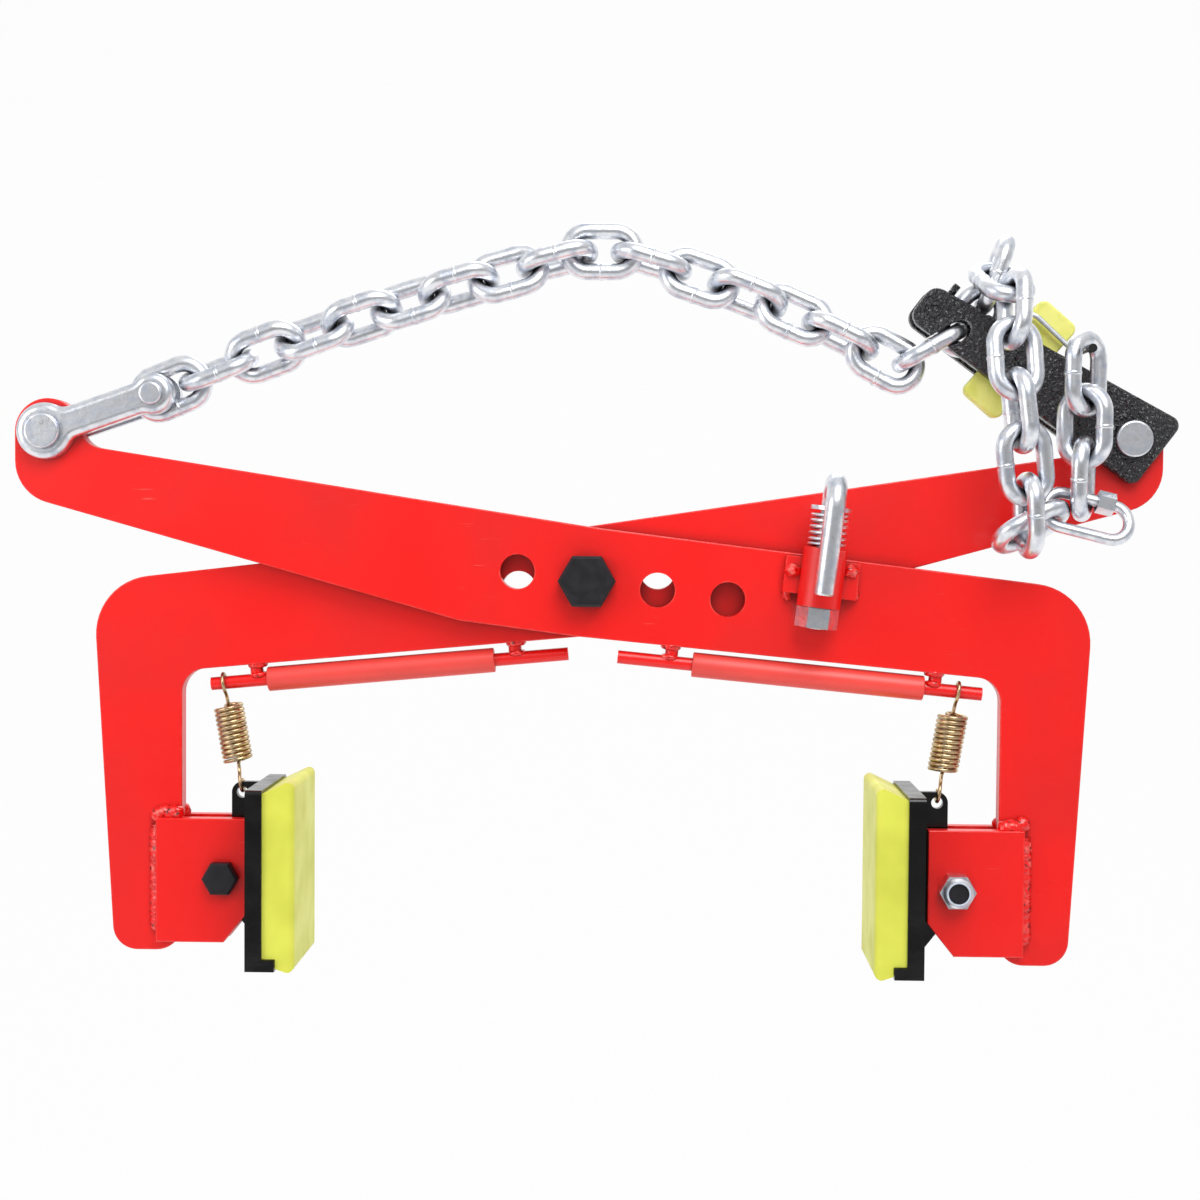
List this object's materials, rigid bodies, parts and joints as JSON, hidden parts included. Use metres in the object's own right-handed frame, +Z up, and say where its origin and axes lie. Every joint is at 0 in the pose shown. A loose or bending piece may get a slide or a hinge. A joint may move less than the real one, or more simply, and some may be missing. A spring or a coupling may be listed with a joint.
{
  "type": "slab lifting clamp",
  "caption": "Scissor clamp for lifting kerbs and slabs: crossed steel arms on a pivot bolt, sprung rubber jaw pads, and a lifting chain with a shortening grab.",
  "frame": {"origin": "middle of the lifting link, the chain's top link, which hangs over the crane hook", "axes": "+X from the left jaw to the right jaw, +Y from the front arm to the back arm, +Z up"},
  "size_m": [0.699, 0.105, 0.4492],
  "materials": {
    "red_paint": "gloss paint on steel",
    "red_grip": "smooth sleeve",
    "black_coat": "textured black coat on steel",
    "black_bolt": "blackened steel",
    "pad_yellow": "cast polyurethane",
    "keeper_yellow": "smooth plastic",
    "bright_zinc": "bright zinc plate",
    "yellow_zinc": "yellow zinc plate"
  },
  "bodies": {
    "back_arm": {"back_arm": "red_paint", "pivot_bolt": "black_bolt", "pivot_nut": "black_bolt", "pivot_washers": "black_bolt", "pivot_spacer": "black_bolt", "left_jaw_lugs": "red_paint", "left_pad_bolt": "black_bolt", "left_pad_nut": "black_bolt", "left_handle_rod": "red_paint", "left_handle_grip": "red_grip", "left_pad_spring": "yellow_zinc"},
    "front_arm": {"front_arm": "red_paint", "right_jaw_lugs": "red_paint", "right_pad_bolt": "bright_zinc", "right_pad_nut": "bright_zinc", "right_handle_rod": "red_paint", "right_handle_grip": "red_grip", "right_pad_spring": "yellow_zinc", "hook_tube": "red_paint", "hook_spring": "bright_zinc"},
    "left_pad": {"left_pad_holder": "black_coat", "left_pad": "pad_yellow"},
    "right_pad": {"right_pad_holder": "black_coat", "right_pad": "pad_yellow"},
    "hook_slider": {"hook_nut": "bright_zinc"},
    "hook": {"hold_hook": "bright_zinc"},
    "left_run": {"clevis_cheeks": "bright_zinc", "clevis_arm_pin": "bright_zinc", "clevis_chain_pin": "bright_zinc", "clevis_arm_cotter": "bright_zinc", "clevis_chain_cotter": "bright_zinc", "chain_link_01": "bright_zinc", "chain_link_02": "bright_zinc", "chain_link_03": "bright_zinc", "chain_link_04": "bright_zinc", "chain_link_05": "bright_zinc", "chain_link_06": "bright_zinc", "chain_link_07": "bright_zinc", "chain_link_08": "bright_zinc", "chain_link_09": "bright_zinc"},
    "right_run": {"lifting_link": "bright_zinc", "chain_link_11": "bright_zinc", "chain_link_12": "bright_zinc", "chain_link_13": "bright_zinc", "chain_link_14": "bright_zinc", "chain_link_15": "bright_zinc", "chain_link_16": "bright_zinc", "chain_link_17": "bright_zinc", "chain_link_18": "bright_zinc", "grab_front_cheek": "black_coat", "grab_rear_cheek": "black_coat", "grab_arm_pin": "bright_zinc", "grab_cross_pins": "black_coat", "keeper_pin": "black_coat", "keeper_wire": "bright_zinc", "tail_front_links": "bright_zinc", "tail_rear_links": "bright_zinc", "quick_link": "bright_zinc"},
    "keeper": {"grab_keeper": "keeper_yellow"},
    "quick_nut": {"quick_link_nut": "bright_zinc"}
  },
  "joints": [
    {"name": "fold", "type": "hinge", "parent": "back_arm", "child": "front_arm", "pos_m": [-0.0069, 0, -0.19838], "axis": [0, 1, 0], "range_deg": [-6, 45]},
    {"name": "right_run_turn", "type": "hinge", "parent": "back_arm", "child": "right_run", "pos_m": [0.3191, 0.0075, -0.11088], "axis": [0, 1, 0], "range_deg": [-6, 42]},
    {"name": "left_run_turn", "type": "hinge", "parent": "front_arm", "child": "left_run", "pos_m": [-0.3329, -0.0075, -0.11088], "axis": [0, 1, 0], "range_deg": [-42, 6]},
    {"name": "left_pad_swing", "type": "hinge", "parent": "back_arm", "child": "left_pad", "pos_m": [-0.2289, 0.0075, -0.38138], "axis": [0, 1, 0], "range_deg": [-5, 5], "deforming": ["left_pad_spring"]},
    {"name": "right_pad_swing", "type": "hinge", "parent": "front_arm", "child": "right_pad", "pos_m": [0.2151, -0.0075, -0.38138], "axis": [0, 1, 0], "range_deg": [-5, 5], "deforming": ["right_pad_spring"]},
    {"name": "hook_press", "type": "slide", "parent": "front_arm", "child": "hook_slider", "axis": [-0.1181, 0, -0.993], "range_m": [0, 0.008], "deforming": ["hook_spring"]},
    {"name": "hook_turn", "type": "hinge", "parent": "hook_slider", "child": "hook", "pos_m": [0.1347, -0.0255, -0.17774], "axis": [0.1181, 0, 0.993], "range_deg": [-90, 90]},
    {"name": "keeper_turn", "type": "hinge", "parent": "right_run", "child": "keeper", "pos_m": [0.25237, 0.0075, -0.06319], "axis": [0, 1, 0], "range_deg": [-10, 10]},
    {"name": "sleeve_turn", "type": "hinge", "parent": "right_run", "child": "quick_nut", "pos_m": [0.29377, -0.0265, -0.14852], "axis": [0.9703, 0, -0.2419], "range_deg": [-30, 30]}
  ],
  "couplings": [
    {"joint": "right_run_turn", "follows": "fold", "ratio": 0.93},
    {"joint": "left_run_turn", "follows": "fold", "ratio": -0.928}
  ]
}
